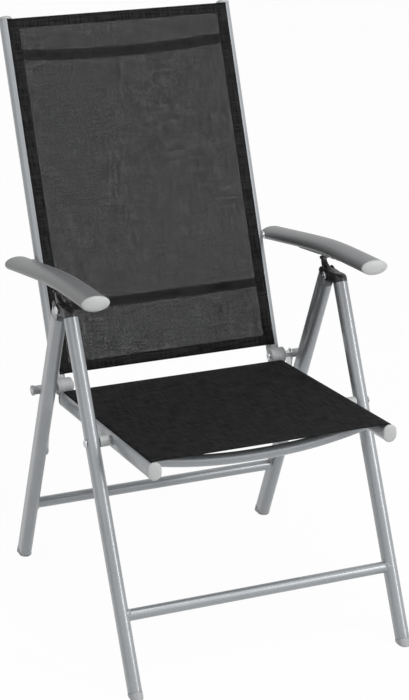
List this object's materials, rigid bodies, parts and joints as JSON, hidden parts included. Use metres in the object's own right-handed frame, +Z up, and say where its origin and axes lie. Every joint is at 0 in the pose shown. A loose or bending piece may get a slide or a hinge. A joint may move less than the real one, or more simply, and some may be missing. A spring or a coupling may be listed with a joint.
{
  "type": "folding garden chair",
  "caption": "High-back folding garden armchair with oval aluminium tubes, mesh slings, notched armrests and a reclining back.",
  "frame": {"origin": "on the floor, at the middle of the chair's width and of its whole length", "axes": "+Z up, the sitter faces -Y, +X to the left hand of the sitter"},
  "size_m": [0.591, 0.809, 1.0851],
  "materials": {
    "silver_tube": "silver powder coat, satin",
    "silver_cap": "silver-grey moulded plastic",
    "cap_plastic": "light grey moulded plastic",
    "foot_plastic": "mid grey moulded plastic",
    "hinge_plastic": "grey moulded plastic",
    "dark_plastic": "black moulded plastic, fine grain",
    "mesh_cloth": "black open-weave coated polyester mesh",
    "steel": "zinc plated"
  },
  "bodies": {
    "front_frame": {"front_crossbar": "silver_tube", "front_foot_L": "foot_plastic", "front_foot_R": "foot_plastic", "front_leg_L": "silver_tube", "front_leg_R": "silver_tube", "leg_bracket_L": "dark_plastic", "leg_bracket_R": "dark_plastic", "seat_pivot_rivet_L": "steel", "seat_pivot_rivet_R": "steel", "seat_spacer_L": "cap_plastic", "seat_spacer_R": "cap_plastic"},
    "rear_frame": {"leg_pivot_bolt_L": "steel", "leg_pivot_bolt_R": "steel", "rear_crossbar": "silver_tube", "rear_foot_L": "foot_plastic", "rear_foot_R": "foot_plastic", "rear_leg_L": "silver_tube", "rear_leg_R": "silver_tube"},
    "seat": {"seat_front_bar": "silver_tube", "seat_knuckle_L": "hinge_plastic", "seat_knuckle_R": "hinge_plastic", "seat_rail_L": "silver_tube", "seat_rail_R": "silver_tube", "seat_rail_cap_L": "cap_plastic", "seat_rail_cap_R": "cap_plastic", "seat_rear_bar": "silver_tube", "seat_sling": "mesh_cloth"},
    "links": {"link_rivet_L": "steel", "link_rivet_R": "steel", "link_strap_L": "steel", "link_strap_R": "steel"},
    "hinge_pins": {"hinge_bolt_L": "steel", "hinge_bolt_R": "steel", "stop_sleeve_L": "hinge_plastic", "stop_sleeve_R": "hinge_plastic"},
    "back": {"back_knuckle_L": "hinge_plastic", "back_knuckle_R": "hinge_plastic", "back_lower_bar": "silver_tube", "back_rail_L": "silver_tube", "back_rail_R": "silver_tube", "back_rail_cap_L": "cap_plastic", "back_rail_cap_R": "cap_plastic", "back_sling": "mesh_cloth", "back_top_bar": "silver_tube"},
    "arm_pivots": {"arm_pivot_bolt_L": "steel", "arm_pivot_bolt_R": "steel"},
    "armrests": {"armrest_L": "silver_tube", "armrest_R": "silver_tube", "armrest_front_cap_L": "cap_plastic", "armrest_front_cap_R": "cap_plastic", "armrest_rear_cap_L": "silver_cap", "armrest_rear_cap_R": "silver_cap", "notch_rail_L": "cap_plastic", "notch_rail_R": "cap_plastic"}
  },
  "joints": [
    {"name": "seat_fold", "type": "hinge", "parent": "front_frame", "child": "seat", "pos_m": [0, -0.18285, 0.419], "axis": [-1, 0, 0], "range_deg": [0, 94]},
    {"name": "leg_spread", "type": "hinge", "parent": "front_frame", "child": "rear_frame", "pos_m": [0, -0.03807, 0.627], "axis": [-1, 0, 0], "range_deg": [0, 50.86]},
    {"name": "link_swing", "type": "hinge", "parent": "seat", "child": "links", "pos_m": [0, 0.10793, 0.421], "axis": [-1, 0, 0], "range_deg": [0, 102.14]},
    {"name": "back_fold", "type": "hinge", "parent": "seat", "child": "hinge_pins", "pos_m": [0, 0.10793, 0.421], "axis": [-1, 0, 0], "range_deg": [-89.83, 0]},
    {"name": "back_recline", "type": "hinge", "parent": "hinge_pins", "child": "back", "pos_m": [0, 0.10793, 0.421], "axis": [-1, 0, 0], "range_deg": [0, 24]},
    {"name": "arm_fold", "type": "hinge", "parent": "back", "child": "arm_pivots", "pos_m": [0, 0.2169, 0.64], "axis": [-1, 0, 0], "range_deg": [0, 117.83]},
    {"name": "arm_level", "type": "hinge", "parent": "arm_pivots", "child": "armrests", "pos_m": [0, 0.2169, 0.64], "axis": [-1, 0, 0], "range_deg": [-14.4, 0]}
  ],
  "couplings": [
    {"joint": "leg_spread", "follows": "seat_fold", "ratio": 0.54083},
    {"joint": "link_swing", "follows": "seat_fold", "ratio": 1.0863},
    {"joint": "back_fold", "follows": "seat_fold", "ratio": -0.95543},
    {"joint": "arm_fold", "follows": "seat_fold", "ratio": 1.2533},
    {"joint": "arm_level", "follows": "back_recline", "ratio": -0.599}
  ]
}
